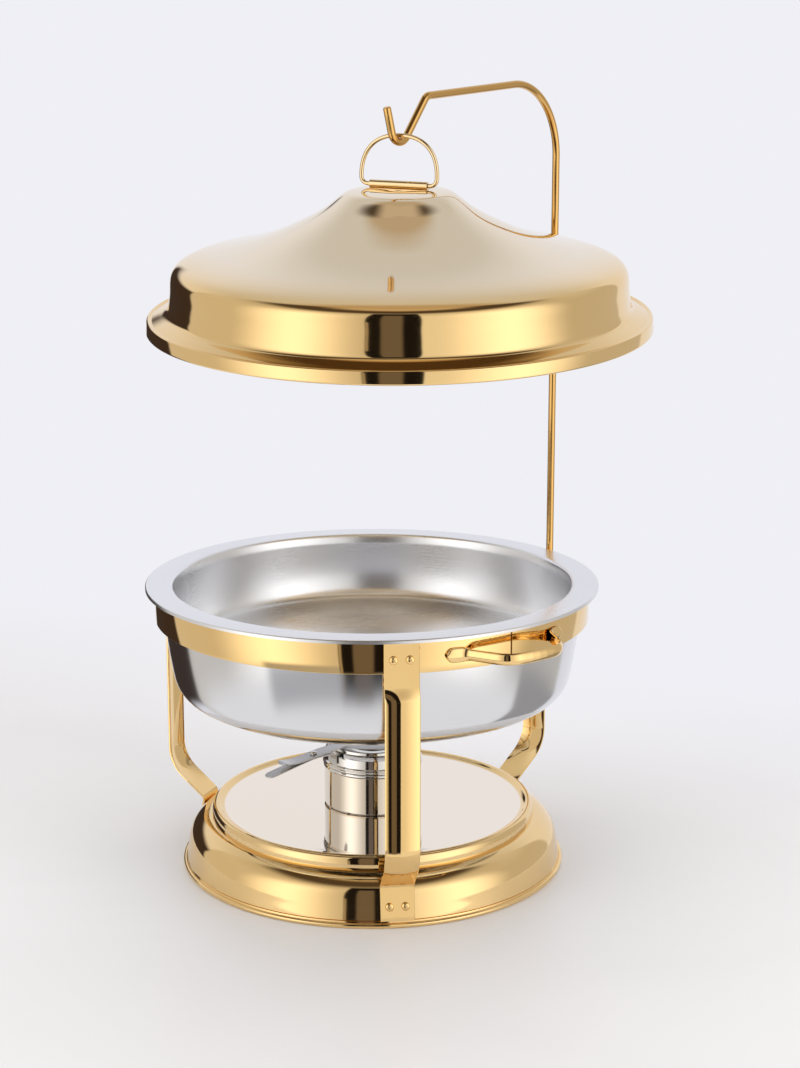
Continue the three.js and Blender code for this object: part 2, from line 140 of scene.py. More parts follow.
def offset(outline, t):
    """The same outline moved t to its right-hand side, with radii kept at zero or more."""
    p = np.array(outline, float)
    d = np.gradient(p, axis=0)
    d /= np.maximum(np.linalg.norm(d, axis=1, keepdims=True), 1e-9)
    moved = p + np.stack([d[:, 1], -d[:, 0]], axis=1) * t
    moved[np.abs(p[:, 0]) < 1e-6, 0] = 0
    return [tuple(q) for q in moved]


# ---- meshes ----
def mesh_piece(name, shape, finish, body, nodes=(), sharp=32, at=AXIS):
    """A piece from (vertices, faces) in millimetres round at, smooth apart from edges over sharp degrees."""
    vertices, faces = shape
    mesh = bpy.data.meshes.new(name)
    mesh.from_pydata([Vector(v) * MM for v in vertices], [], faces)
    work = bmesh.new()
    work.from_mesh(mesh)
    bmesh.ops.remove_doubles(work, verts=work.verts, dist=1e-7)
    bmesh.ops.recalc_face_normals(work, faces=work.faces)
    work.to_mesh(mesh)
    work.free()
    mesh.shade_smooth()
    mesh.set_sharp_from_angle(angle=math.radians(sharp))
    piece = bpy.data.objects.new(name, mesh)
    bpy.context.scene.collection.objects.link(piece)
    piece.location = at
    mesh.materials.append(finish)
    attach(piece, body)
    if nodes:
        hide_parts(*nodes)
    return piece


def turned(outline, segments=ROUND, gap=0):
    """Vertices and faces of a closed outline of (radius, height) turned about Z, open by gap degrees."""
    n = len(outline)
    stops = segments if not gap else segments + 1
    turns = [math.radians(gap / 2 + (360 - gap) * i / segments) for i in range(stops)]
    vertices = [(r * math.cos(a), r * math.sin(a), z) for a in turns for r, z in outline]
    faces = []
    for i in range(segments):
        j = (i + 1) % stops
        for k in range(n):
            m = (k + 1) % n
            if outline[k][0] < 1e-6 and outline[m][0] < 1e-6:
                continue
            ring = [i * n + k, j * n + k, j * n + m, i * n + m]
            if outline[k][0] < 1e-6:
                ring.pop(1)
            elif outline[m][0] < 1e-6:
                ring.pop(2)
            faces.append(ring)
    if gap:
        faces += [list(range(n)), list(range(segments * n, segments * n + n))]
    return vertices, faces


def swept(stations, sections):
    """Closed sections of (across, out) points, one at each of the (place, across, out) stations."""
    n = len(sections[0])
    vertices = [tuple(Vector(place) + Vector(across) * u + Vector(out) * v)
                for (place, across, out), section in zip(stations, sections) for u, v in section]
    faces = [[i * n + k, i * n + (k + 1) % n, (i + 1) * n + (k + 1) % n, (i + 1) * n + k]
             for i in range(len(stations) - 1) for k in range(n)]
    faces += [list(range(n)), list(range((len(stations) - 1) * n, len(stations) * n))]
    return vertices, faces


def turned_by(degrees, shape):
    """The same vertices and faces, turned about Z."""
    spin = Matrix.Rotation(math.radians(degrees), 3, "Z")
    return [spin @ Vector(v) for v in shape[0]], shape[1]


def rod_stations(points, radius, tip):
    """Stations along 3-D points, with the share of the radius there, less over the last tip millimetres."""
    p = [Vector(q) for q in points]
    d = [(p[min(i + 1, len(p) - 1)] - p[max(i - 1, 0)]).normalized() for i in range(len(p))]
    side = d[0].orthogonal().normalized()
    frames = []
    for q, t in zip(p, d):
        side = (side - t * side.dot(t)).normalized()
        frames.append((q, side, t.cross(side), 1.0))
    for end, sign in ((0, -1), (-1, 1)):
        q, a, b, _ = frames[end]
        caps = [(q + d[end] * sign * (tip * math.sin(w) - tip), a, b,
                 1 - tip / radius * (1 - math.cos(w))) for w in np.radians([0, 25, 50, 72, 88])]
        frames = caps[::-1] + frames[1:] if end == 0 else frames[:-1] + caps
    return frames


def rod_piece(name, points, radius, finish, body, node, sides, tip, at):
    """Round gold rod through 3-D points, with its two ends rounded off."""
    frames = rod_stations(points, radius, tip)
    ring = [(math.cos(a), math.sin(a)) for a in np.linspace(0, 2 * math.pi, sides, endpoint=False)]
    sections = [[(radius * s * x, radius * s * y) for x, y in ring] for _, _, _, s in frames]
    mesh_piece(name, swept([f[:3] for f in frames], sections), finish, body, [node], at=at)


def sheet_section(half, t, rise, columns=28, edge=0.35):
    """Section of a strip: outer face crowned by rise, parallel inner face and softened long edges."""
    across = np.linspace(-1, 1, columns + 1)
    face = [(u * (half - edge), rise * (1 - u * u)) for u in across]
    back = [(u, v - t) for u, v in face[::-1]]
    return face + [(half, -edge), (half, edge - t)] + back + [(-half, edge - t), (-half, -edge)]


# ---- node graphs ----
class Graph:
    """Short spelling for a node tree. An input goes by its name, or by its number as i0, i1 and so on."""

    def __init__(self, tree):
        self.tree = tree
        self.tree.nodes.clear()

    def node(self, kind, settings=None, **inputs):
        made = self.tree.nodes.new(kind)
        for key, value in (settings or {}).items():
            setattr(made, key, value)
        for key, value in inputs.items():
            numbered = key[0] == "i" and key[1:].isdigit()
            self.feed(made.inputs[int(key[1:]) if numbered else key], value)
        return made

    def feed(self, socket, value):
        if isinstance(value, bpy.types.NodeSocket):
            self.tree.links.new(value, socket)
        else:
            socket.default_value = value

    def math(self, operation, *values, clamp=False):
        inputs = {f"i{i}": v for i, v in enumerate(values)}
        return self.node("ShaderNodeMath", {"operation": operation, "use_clamp": clamp}, **inputs).outputs[0]

    def ramp(self, value, low, high, start=0.0, end=1.0):
        made = self.node("ShaderNodeMapRange", {"interpolation_type": "SMOOTHSTEP"},
                         i0=value, i1=low, i2=high, i3=start, i4=end)
        return made.outputs[0]

    def band(self, value, low, high, soft):
        rise = self.ramp(value, low - soft / 2, low + soft / 2)
        return self.math("MULTIPLY", rise, self.ramp(value, high - soft / 2, high + soft / 2, 1.0, 0.0))

    def mix(self, share, a, b):
        made = self.node("ShaderNodeMix", {"data_type": "RGBA"})
        for i, value in ((0, share), (6, a), (7, b)):
            self.feed(made.inputs[i], value)
        return made.outputs[2]


def tone(r, g, b):
    return (r, g, b, 1.0)


def metal(name, colour, warm, roughness, spread, polish=0.0, turned_lines=False, fade=None, leans=False):
    """Metal whose tint, roughness and surface vary. Polish is the depth in millimetres of its turned or
    drawn lines. fade is a coordinate with the two values between which it goes over to a second tint.
    leans is for the lid, whose own axis isn't upright."""
    material = bpy.data.materials.new(name)
    material.use_nodes = True
    g = Graph(material.node_tree)
    local = g.node("ShaderNodeTexCoord").outputs["Object"]
    if leans:
        local = g.node("ShaderNodeVectorRotate", Vector=local, Axis=tuple(tilt.axis),
                       Angle=-tilt.angle).outputs[0]
    split = g.node("ShaderNodeSeparateXYZ", Vector=local)
    clouds = g.node("ShaderNodeTexNoise", Vector=local, Scale=3.0, Detail=3.0, Roughness=0.55).outputs[0]
    if turned_lines:
        flat = g.node("ShaderNodeCombineXYZ", X=split.outputs[0], Y=split.outputs[1]).outputs[0]
        radius = g.node("ShaderNodeVectorMath", {"operation": "LENGTH"}, i0=flat).outputs["Value"]
        angle = g.math("ARCTAN2", split.outputs[1], split.outputs[0])
        lines_at = g.node("ShaderNodeCombineXYZ", X=radius, Y=g.math("MULTIPLY", angle, 0.0015),
                          Z=split.outputs[2]).outputs[0]
    else:
        lines_at = g.node("ShaderNodeMapping", Vector=local, Scale=(1.0, 1.0, 0.02)).outputs[0]
    lines = g.node("ShaderNodeTexNoise", Vector=lines_at, Scale=900.0, Detail=2.0, Roughness=0.6).outputs[0]
    tint = g.mix(g.ramp(clouds, 0.3, 0.7), tone(*colour), tone(*warm))
    if fade:
        along, low, high, second = fade
        place = radius if along == "radius" else split.outputs[2]
        tint = g.mix(g.ramp(place, low, high), tint, tone(*second))
    rough = g.math("ADD", g.ramp(clouds, 0.3, 0.75, roughness - spread, roughness + spread),
                   g.math("MULTIPLY", lines, spread * 0.8))
    shader = g.node("ShaderNodeBsdfPrincipled", Metallic=1.0)
    g.tree.links.new(tint, shader.inputs["Base Color"])
    g.tree.links.new(rough, shader.inputs["Roughness"])
    if polish:
        bump = g.node("ShaderNodeBump", Strength=1.0, Distance=polish * MM, Height=lines).outputs[0]
        g.tree.links.new(bump, shader.inputs["Normal"])
    out = g.node("ShaderNodeOutputMaterial")
    g.tree.links.new(shader.outputs[0], out.inputs[0])
    return material


gold = metal("gold_mirror", (0.90, 0.64, 0.30), (0.87, 0.60, 0.26), 0.045, 0.012)
gold_turned = metal("gold_turned", (0.90, 0.65, 0.32), (0.87, 0.62, 0.29), 0.05, 0.012, 0.0006, True)
gold_lid = metal("gold_lid", (0.90, 0.65, 0.32), (0.87, 0.62, 0.29), 0.05, 0.012, 0.0006, True,
                 fade=("height", 0.048, 0.062, (0.86, 0.74, 0.56)), leans=True)
gold_deck = metal("gold_deck", (0.94, 0.85, 0.74), (0.93, 0.84, 0.72), 0.03, 0.01, 0.0003, True,
                  fade=("radius", 0.1265, 0.1285, (0.88, 0.64, 0.32)))
gold_drawn = metal("gold_drawn", (0.72, 0.44, 0.15), (0.68, 0.40, 0.13), 0.12, 0.03, 0.001)
gold_pale = metal("gold_pale", (0.82, 0.64, 0.38), (0.79, 0.60, 0.34), 0.08, 0.02, 0.0002)
# painted shade: a dark brown tint for the strip behind the band's seam, standing for the shadow inside the
# groove
painted_shade_gold = metal("painted_shade_gold", (0.30, 0.18, 0.07), (0.24, 0.14, 0.05), 0.35, 0.05, 0.001)
steel_satin = metal("steel_satin", (0.74, 0.74, 0.75), (0.70, 0.70, 0.71), 0.12, 0.03, 0.003, True)
steel_flange = metal("steel_flange", (0.84, 0.85, 0.88), (0.81, 0.82, 0.85), 0.27, 0.03, 0.004, True)
steel_bright = metal("steel_bright", (0.78, 0.76, 0.73), (0.75, 0.73, 0.70), 0.07, 0.02, 0.001, True)
steel_strip = metal("steel_strip", (0.62, 0.62, 0.62), (0.56, 0.56, 0.56), 0.24, 0.05, 0.004)


# ---- base ----
def base():
    wall = [(159.0, 6.0), (157.4, 15.0), (155.9, 23.6), (154.3, 28.0), (151.4, 32.0), (147.9, 35.3),
            (143.7, 37.8), (139.2, 39.3), (134.4, 39.8)]
    outer = flowing(wall, 1.0)
    rim = arc(161.3, 2.1, 2.1, 186, 480, 26)
    inner = offset(outer, 1.2)[::-1]
    outline = rim + outer + [(121, 39.8), (121, 38.6)] + inner + [(158.4, 2.8)]
    mesh_piece("base_dome", turned(outline), gold_turned, "stand", ["base_shell"])

    bead = [(127.8, 48.7), (130.0, 49.8), (131.8, 51.0), (133.5, 51.3), (135.4, 50.8), (137.1, 49.0),
            (137.8, 45.6), (137.9, 40.1)]
    top = flowing(bead, 0.6)
    under = [(136.6, 40.1), (136.4, 45.4), (135.2, 49.0), (133.3, 50.0), (131.5, 49.2), (128.2, 47.5)]
    outline = [(0, 48.7), (60, 48.7), (124, 48.7)] + top + flowing(under, 1.0) + [(0, 47.5)]
    mesh_piece("base_deck", turned(outline), gold_deck, "stand", ["fuel_tray"])


# ---- legs, screws and ring ----
BASE_TAPER = 0.169                # inward lean of the base's wall per millimetre of height
LEG_HALF, LEG_T, LEG_CROWN = 13.8, 1.7, 2.2
# (radius, height, corner radius) down a leg's outer face, from its top tab to its foot tab
LEG_PATH = [(184, 242.4), (184, 208, 16), (189, 195, 16), (189, 62, 34), (156.27, 34.2, 4), (161.07, 5.8)]


def smoothstep(x, low, high):
    t = min(1.0, max(0.0, (x - low) / (high - low)))
    return t * t * (3 - 2 * t)


def spaced(points, step):
    """The same polyline with extra points, so that no stretch is longer than step."""
    out = [points[0]]
    for a, b in zip(points, points[1:]):
        n = max(1, math.ceil(math.dist(a, b) / step))
        out += [tuple(np.array(a) + (np.array(b) - np.array(a)) * k / n) for k in range(1, n + 1)]
    return out


def leg(name, turn):
    """Strip along LEG_PATH, crowned between the jog under the ring and the bend above the foot."""
    path = spaced(rounded(LEG_PATH, 3), 3.0)
    stations, sections = [], []
    for i, (r, z) in enumerate(path):
        a, b = path[max(0, i - 1)], path[min(len(path) - 1, i + 1)]
        d = Vector((b[0] - a[0], b[1] - a[1])).normalized()
        stations.append(((0, -r, z), (1, 0, 0), (0, d.y, d.x)))
        rise = LEG_CROWN * smoothstep(208 - z, 0, 14) * smoothstep(z, 38, 58)
        sections.append(sheet_section(LEG_HALF, LEG_T, rise))
    mesh_piece(f"{name}_strip", turned_by(turn, swept(stations, sections)), gold, "stand", [name])


def screws():
    """Domed screw heads with a cross recess, two at each end of each leg."""
    dome = flowing([(3.5, 0.45), (3.2, 1.35), (2.2, 2.1), (1.0, 2.45), (0, 2.5)], 0.35)
    head = [(0, -7.3), (1.95, -7.3), (1.95, 0.3), (3.5, 0.3)] + dome
    shape = mesh_piece("screw_pattern", turned(head, 40), gold, "stand", at=Vector())
    cutter_mesh = bpy.data.meshes.new("recess")
    cutter = bpy.data.objects.new("recess", cutter_mesh)
    bpy.context.scene.collection.objects.link(cutter)
    work = bmesh.new()
    for size in ((0.55, 3.1, 2.4), (3.1, 0.55, 2.4)):
        bmesh.ops.create_cube(work, size=1, matrix=Matrix.Translation((0, 0, 2.6 * MM))
                              @ Matrix.Diagonal((*[s * MM for s in size], 1)))
    work.to_mesh(cutter_mesh)
    work.free()
    cut = shape.modifiers.new("recess", "BOOLEAN")
    cut.operation, cut.object, cut.solver, cut.use_self = "DIFFERENCE", cutter, "EXACT", True
    ready = bpy.data.meshes.new_from_object(shape.evaluated_get(bpy.context.evaluated_depsgraph_get()))
    for o in (shape, cutter):
        bpy.data.objects.remove(o)
    for name, turn in LEG_TURNS.items():
        for end, lean, r, z in (("top", 0.0, 184.0, 228.0), ("foot", math.atan(BASE_TAPER), 159.171, 17.0)):
            for letter, side in (("a", -1), ("b", 1)):
                twist = Matrix.Rotation(math.radians(25 + 40 * side + turn), 4, "Z")
                pose = (Matrix.Translation(AXIS) @ Matrix.Rotation(math.radians(turn), 4, "Z")
                        @ Matrix.Translation(Vector((side * 6.4, -r, z)) * MM)
                        @ Matrix.Rotation(math.pi / 2 - lean, 4, "X") @ twist)
                screw = bpy.data.objects.new(f"fixing_{name}_{end}_{letter}", ready)
                bpy.context.scene.collection.objects.link(screw)
                screw.matrix_world = pose
                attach(screw, "stand")
                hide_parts(f"screw_{name}_{end}_{letter}")


RING_R = 182                      # outer radius of the band
SEAM = 0.5                        # groove in the band, in degrees


def ring():
    """Band round the pans, its two ends meeting in a narrow groove, with a dark strip behind it that is
    painted shade in the groove.
    """
    inside = RING_R - 1.5
    low, high = 216.5, 243.0
    outline = rounded([(inside, low, 0), (RING_R, low, 0.3), (RING_R, high, 0.3), (inside, high, 0)], 30)
    mesh_piece("ring_band", turned(outline, ROUND, SEAM), gold, "stand", ["support_ring"])
    # the groove is real, but the dark strip behind it is painted shade: its tint stands for the shadow
    # inside the seam
    half = RING_R * math.radians(SEAM / 2)
    stations = [((inside + 0.2, 0, z), (0, 1, 0), (1, 0, 0)) for z in (216.8, 225.0, 234.0, 242.7)]
    back = swept(stations, [sheet_section(half, 0.4, 0.1, 8, 0.1)] * len(stations))
    mesh_piece("seam_painted_shade", back, painted_shade_gold, "stand")


PAD_R, HANDLE_Z = 185.0, 228.5    # where a handle's pads lie on the band
PAD_HALF, BAR_HALF = 5.8, 4.6     # half widths of the pads and of the bar


def handle(name, turn):
    """Flat bar with round-ended pads that follow the ring, bowed out between them."""
    def pad(degrees, corner=0):
        return (PAD_R * math.cos(math.radians(degrees)), PAD_R * math.sin(math.radians(degrees)), corner)

    outline = [pad(a) for a in (-18.4, -17.8, -17.2, -16.6, -16.0)]
    outline += [pad(-13.7, 7), (213.6, -28.0, 21), (216.4, 0, 140), (213.6, 28.0, 21), pad(13.7, 7)]
    outline += [pad(a) for a in (16.0, 16.6, 17.2, 17.8, 18.4)]
    path = spaced(rounded(outline, 3), 1.0)
    runs = np.concatenate([[0], np.cumsum([math.dist(a, b) for a, b in zip(path, path[1:])])])
    total, stations, sections = runs[-1], [], []
    for i, (x, y) in enumerate(path):
        a, b = path[max(0, i - 1)], path[min(len(path) - 1, i + 1)]
        d = Vector((b[0] - a[0], b[1] - a[1])).normalized()
        end = min(runs[i], total - runs[i])
        short = PAD_HALF - min(PAD_HALF, max(end, 0.25))
        half = math.sqrt(PAD_HALF ** 2 - short ** 2) - (PAD_HALF - BAR_HALF) * smoothstep(end, 12, 19)
        stations.append(((x - 0.6 * d.y, y + 0.6 * d.x, HANDLE_Z), (0, 0, 1), (d.y, -d.x, 0)))
        sections.append(sheet_section(half, 1.9, 1.3, 14, min(0.6, half * 0.4)))
    mesh_piece(f"{name}_bar", turned_by(turn, swept(stations, sections)), gold, "stand", [name])


# ---- pans ----
def pans():
    under = flowing([(0, 145.6), (60, 145.65), (118, 146.0), (143, 147.8), (157, 152.3), (164, 159),
                     (168.6, 173), (174.6, 216), (176.6, 238)], 1.5)
    outer = under + rounded([(176.6, 238), (179.6, 243.3, 1.5), (188, 243.3, 0)], 8)[1:]
    inner = offset(under, -1.2)
    outline = outer + [(188, 244.2)] + rounded([(179.0, 244.2, 0), (175.4, 238.2, 0)], 8) + inner[::-1][1:]
    mesh_piece("outer_pan", turned(outline), steel_satin, "water_pan", ["water_pan"])

    inside = flowing([(0, 184.2), (60, 184.25), (130, 184.5), (147.6, 186.5), (156.2, 191.2), (160.3, 199.3),
                      (165.4, 238.3)], 1.5)
    lip = rounded([(165.4, 238.3, 0), (167.6, 245.4, 3.0), (189.4, 245.4, 0.5), (190.0, 244.6, 0.3),
                   (190, 242.6, 0)], 8)
    under_lip = rounded([(188.9, 242.6, 0), (188.7, 244.4, 0.3), (169.0, 244.4, 0)], 20)
    outline = inside + lip[1:] + under_lip + offset(inside, 1.2)[::-1][1:]
    mesh_piece("inner_pan", turned(outline), steel_flange, "food_pan", ["food_pan"])


# ---- hook rod, bail and lid ----
ARM_TURN = math.radians(15.06)    # the arm's turn from straight to the front
# (distance from the rod's axis, height, corner radius) along the middle of the rod
ARM_PATH = [(0, 157.5, 0), (0, 655.35, 61), (185.4, 644.6, 9), (224.0, 598.6, 11), (236.0, 637.2, 0)]


def hook():
    points = [(s * math.sin(ARM_TURN), -s * math.cos(ARM_TURN), z) for s, z in rounded(ARM_PATH, 3)]
    rod_piece("hook_bar", points, ROD_R, gold_drawn, "hook", "hook_rod", 36, 1.1, ROD)
    outline = [(0, 152.5), (4.7, 152.5), (5.2, 153.0), (5.2, 194.5), (4.7, 195), (3.25, 195), (3.25, 157.2),
               (0, 157.2)]
    mesh_piece("socket_tube", turned(outline, 64), gold, "stand", ["rod_socket"], at=ROD)
    stations = [((0, -4.2, z), (1, 0, 0), (0, -1, 0)) for z in (159.2, 166.0, 174.0, 182.0, 188.8)]
    pad = swept(stations, [sheet_section(3.4, 1.6, 1.9, 12, 0.3)] * len(stations))
    mesh_piece("socket_pad", pad, gold, "stand", at=ROD)


sleeve_flat = Vector((math.cos(math.radians(SLEEVE_TURN)), math.sin(math.radians(SLEEVE_TURN)), 0))
sleeve_axis = tilt @ sleeve_flat
bail_up = (Vector((0, 0, 1)) - sleeve_axis * sleeve_axis.z).normalized()
shift_turn = math.radians(BRACKET_TURN)
shift = Vector((-math.sin(shift_turn), math.cos(shift_turn), 0)) * BRACKET_SHIFT
lid_place = SLEEVE - (tilt @ (Vector((0, 0, LID_TOP + SLEEVE_RISE)) + shift)) * MM


def bail():
    """Wire ring with a straight foot in the sleeve, tight lower corners and a full round arch."""
    half, foot, height, fullness = 31.4, 5.5, 37.9, 0.84
    corner = arc(half - foot, foot, foot, -90, 0, 12)
    over = [(half * math.copysign(abs(math.cos(a)) ** fullness, math.cos(a)),
             foot + (height - foot) * math.sin(a) ** fullness) for a in np.linspace(0, math.pi, 91)[1:-1]]
    path = [(1, 0)] + corner + over + [(-x, y) for x, y in corner[::-1]] + [(-1, 0)]
    points = [sleeve_axis * x + bail_up * y for x, y in path]
    rod_piece("bail_wire", points, BAIL_R, gold_pale, "bail", "bail", 24, 0.3, SLEEVE)


def lid():
    """Disc, cone, tight shoulder and wall, then a sloping foot, a bead and a rim with its edge rolled in."""
    top = flowing([(0, 107.5), (36, 107.4), (42, 105.9), (47, 102.7), (56, 95.5), (66, 89.2), (80, 82.0),
                   (100, 73.0), (125, 64.6), (150, 58.4), (164, 54.9), (171.5, 52.3), (176.3, 49.4),
                   (179.2, 45.6), (180.5, 41.0), (181.1, 33.0), (182.0, 24.5)], 1.6)
    foot = flowing([(182.0, 24.5), (182.8, 19.5), (184.6, 15.9), (188.6, 13.6), (193.0, 11.7),
                    (196.0, 10.4)], 0.6)
    bead = flowing([(196.0, 10.4), (197.2, 10.3), (198.2, 10.9), (199.2, 10.8), (199.9, 10.2),
                    (200.2, 9.2)], 0.3)
    roll = arc(199.4, 1.6, 1.5, 0, -180, 14)
    behind_bead = [(197.9, 3.6), (199.8, 3.8), (199.2, 8.9), (198.9, 9.7), (198.2, 9.8), (197.5, 9.25),
                   (196.6, 9.2)]
    outer = top + foot[1:]
    outline = outer + bead[1:] + roll + behind_bead + offset(outer, 1.0)[::-1]
    vertices, faces = turned(outline)
    leaning = [tilt @ Vector(v) for v in vertices], faces
    mesh_piece("lid_dome", leaning, gold_lid, "lid", ["lid_shell"], at=lid_place)


def bracket():
    """Flat strip on the lid's top disc, rolled into a sleeve round the bail."""
    rise, bore, slit = SLEEVE_RISE, BAIL_R + 0.09, 0.01
    outline = [(-6.5, 0.3), (-slit, 0.3), (-slit, rise - bore)] + arc(0, rise, bore, 269.6, -89.6, 44)
    outline += [(slit, rise - bore), (slit, 0.3), (6.5, 0.3), (6.5, 1.1)]
    outline += arc(0, rise, SLEEVE_R, -64, 244, 44) + [(-6.5, 1.1)]
    stations = [((x, 0, 0), (0, 1, 0), (0, 0, 1)) for x in (-SLEEVE_HALF, SLEEVE_HALF)]
    vertices, faces = swept(stations, [outline, outline])
    turn = Matrix.Rotation(math.radians(SLEEVE_TURN), 3, "Z")
    vertices = [tilt @ (turn @ Vector(v) + shift + Vector((0, 0, LID_TOP))) for v in vertices]
    mesh_piece("sleeve_plate", (vertices, faces), gold_pale, "lid", ["bail_bracket"], sharp=40,
               at=lid_place)


# ---- burner ----
TIP_HALF = 0.6                    # half width at the very end of a burner strip


def burner():
    can = rounded([(0, 48.9, 0), (40.6, 48.9, 0.8), (41.5, 50.6, 1.2), (41.5, 82.2, 0.8), (42.4, 83.4, 0.9),
                   (41.5, 85.0, 0), (40.3, 85.0, 0), (40.3, 50.4, 0), (0, 50.1, 0)], 20)
    mesh_piece("can_body", turned(can, 128), steel_bright, "burner", ["burner_cup"])
    cup = [(0, 50.5), (36, 50.5), (36.6, 83.0), (35.4, 83.0), (35, 51.6), (0, 51.6)]
    mesh_piece("fuel_liner", turned(cup, 96), steel_bright, "burner", ["fuel_cup"])
    collar = rounded([(40.4, 85.3, 0), (42.0, 85.3, 0.4), (42.9, 86.7, 0.9), (41.9, 88.0, 0.5),
                      (42.7, 89.0, 0.7), (41.3, 90.3, 0.5), (41.0, 97.0, 2.5), (38.8, 100.6, 1.2),
                      (37.4, 101.0, 0.4), (36.8, 103.4, 0.5), (35.6, 103.4, 0.5), (24, 101.4, 0),
                      (24, 100.4, 0), (37.6, 99.6, 0), (39.8, 96.6, 0), (39.8, 88.0, 0)], 20)
    mesh_piece("collar_ring", turned(collar, 128), steel_bright, "burner", ["burner_collar"])


STRIP_COLUMNS = 6                 # faces across a burner strip


def strip_piece(name, levels, body, nodes):
    """Thin strip along Y from (y, top z, half width) stations, its end rounded by the widths."""
    stations, sections = [], []
    for i, (y, z, half) in enumerate(levels):
        a, b = levels[max(0, i - 1)], levels[min(len(levels) - 1, i + 1)]
        d = Vector((b[0] - a[0], b[1] - a[1])).normalized()
        stations.append(((0, y, z), (1, 0, 0), (0, d.y, -d.x)))
        sections.append(sheet_section(half, 1.0, 0.0, STRIP_COLUMNS, min(0.3, half * 0.3)))
    mesh_piece(name, swept(stations, sections), steel_strip, body, nodes)


def round_end(y0, y1, half, n=8):
    """Widths that close a strip with a round end between y0 and y1."""
    turns = np.linspace(0.2, math.pi / 2, n)
    return [(y0 + (y1 - y0) * math.sin(a), max(half * math.cos(a), TIP_HALF)) for a in turns]


def burner_strips():
    """The collar's strip, which leans down to its end, and the damper's wavy arm over it with its disc."""
    wide, flat, bend, slope = 6.0, 101.9, -64, 0.185
    rise = flowing([(-41.8, 91.5), (-41.8, 98.0), (-43.2, 100.8), (-46.5, flat)], 0.8)
    run = [(y, z, wide) for y, z in rise] + [(-54, flat, wide), (-62, flat, wide)]
    run += [(y, flat + (y - bend) * slope, wide) for y in (-66, -74, -84, -94, -103)]
    run += [(y, flat + (y - bend) * slope, half) for y, half in round_end(-103.5, -109.5, wide)]
    strip_piece("burner_strip", run, "burner", ["burner_handle"])

    wave = flowing([(-31, 105.95), (-34, 105.85), (-62, 103.6), (-86, 101.6), (-90, 102.1),
                    (-93, 102.5), (-96, 102.0)], 1.5)
    wide, end, length = 6.6, -91.5, 4.6
    levels = [(y, z, wide) for y, z in wave if y > end]
    levels += [(y, z, max(wide * math.sqrt(max(0.0, 1 - ((end - y) / length) ** 2)), TIP_HALF))
               for y, z in wave if y <= end]
    strip_piece("damper_arm", levels, "damper", [])
    disc = rounded([(0, 104.9, 0), (32.6, 104.9, 0.3), (33, 105.4, 0.3), (32.6, 105.9, 0.3),
                    (0, 105.9, 0)], 30)
    mesh_piece("damper_disc", turned(disc, 96), steel_strip, "damper", ["damper_plate"])
    rivet = rounded([(0, 99.3, 0), (3.2, 99.3, 0.2), (3.2, 100.5, 0), (1.97, 100.5, 0), (1.97, 104.2, 0),
                     (3.4, 104.2, 0.2), (2.4, 105.4, 0.8), (0, 105.8, 0)], 20)
    mesh_piece("damper_pin", turned(rivet, 40), steel_bright, "burner", ["damper_rivet"],
               at=PIVOT)


# ---- studio ----
CAMERA = Vector((1.3784, -1.0266, 0.6869))
AZIMUTH = math.radians(52.8)      # from straight in front, towards the right handle
PITCH = math.radians(13.05)       # the camera looks down by this


def camera():
    data = bpy.data.cameras.new("camera")
    data.sensor_width = 36
    data.lens = 71.73
    data.clip_end = 50
    eye = bpy.data.objects.new("camera", data)
    eye.location = CAMERA
    eye.rotation_euler = (math.pi / 2 - PITCH, 0, AZIMUTH)
    bpy.context.scene.collection.objects.link(eye)
    bpy.context.scene.camera = eye


WALL_TONE = (0.865, 0.865, 0.91, 1.0)
EDGE_AWAY = 0.1448                # metres behind the base's axis where the floor starts to fade
EDGE_SOFT = 0.5                   # metres further on where it has the wall's tone
EDGE_TURN = 24.06                 # degrees from the direction of view to the direction of this fade
FLOOR_FADE = 0.8, 2.6             # all round, the floor fades to the same tone between these radii
NEAR, FAR = 0.27, 6.0             # radii of the floor that shows in the metal, and of the whole floor
WALL_TOP = 9.0                    # height of the wall
LAMP_AWAY = 2.4                   # from each lamp to the base's middle


def floor_material():
    """Pale table top that fades into the plain tone of the wall, sooner behind the object."""
    material = bpy.data.materials.new("table_top")
    material.use_nodes = True
    g = Graph(material.node_tree)
    local = g.node("ShaderNodeTexCoord").outputs["Object"]
    clouds = g.node("ShaderNodeTexNoise", Vector=local, Scale=2.2, Detail=5.0, Distortion=0.8).outputs[0]
    colour = g.mix(g.ramp(clouds, 0.35, 0.65), tone(0.91, 0.92, 0.96), tone(0.88, 0.89, 0.93))
    turn = AZIMUTH - math.radians(EDGE_TURN)
    across = g.node("ShaderNodeVectorMath", {"operation": "DOT_PRODUCT"}, i0=local,
                    i1=(-math.sin(turn), math.cos(turn), 0)).outputs["Value"]
    beyond = g.ramp(across, EDGE_AWAY, EDGE_AWAY + EDGE_SOFT)
    radius = g.node("ShaderNodeVectorMath", {"operation": "LENGTH"}, i0=local).outputs["Value"]
    beyond = g.math("MAXIMUM", beyond, g.ramp(radius, *FLOOR_FADE))
    top = g.node("ShaderNodeBsdfPrincipled", Roughness=0.35)
    g.tree.links.new(colour, top.inputs["Base Color"])
    plain = g.node("ShaderNodeEmission", Color=WALL_TONE)
    both = g.node("ShaderNodeMixShader", i0=beyond, i1=top.outputs[0], i2=plain.outputs[0]).outputs[0]
    out = g.node("ShaderNodeOutputMaterial")
    g.tree.links.new(both, out.inputs[0])
    return material


def wall_material():
    """The plain tone of the wall, which gives its own light."""
    material = bpy.data.materials.new("plain_wall")
    material.use_nodes = True
    g = Graph(material.node_tree)
    light = g.node("ShaderNodeEmission", Color=WALL_TONE).outputs[0]
    out = g.node("ShaderNodeOutputMaterial")
    g.tree.links.new(light, out.inputs[0])
    return material


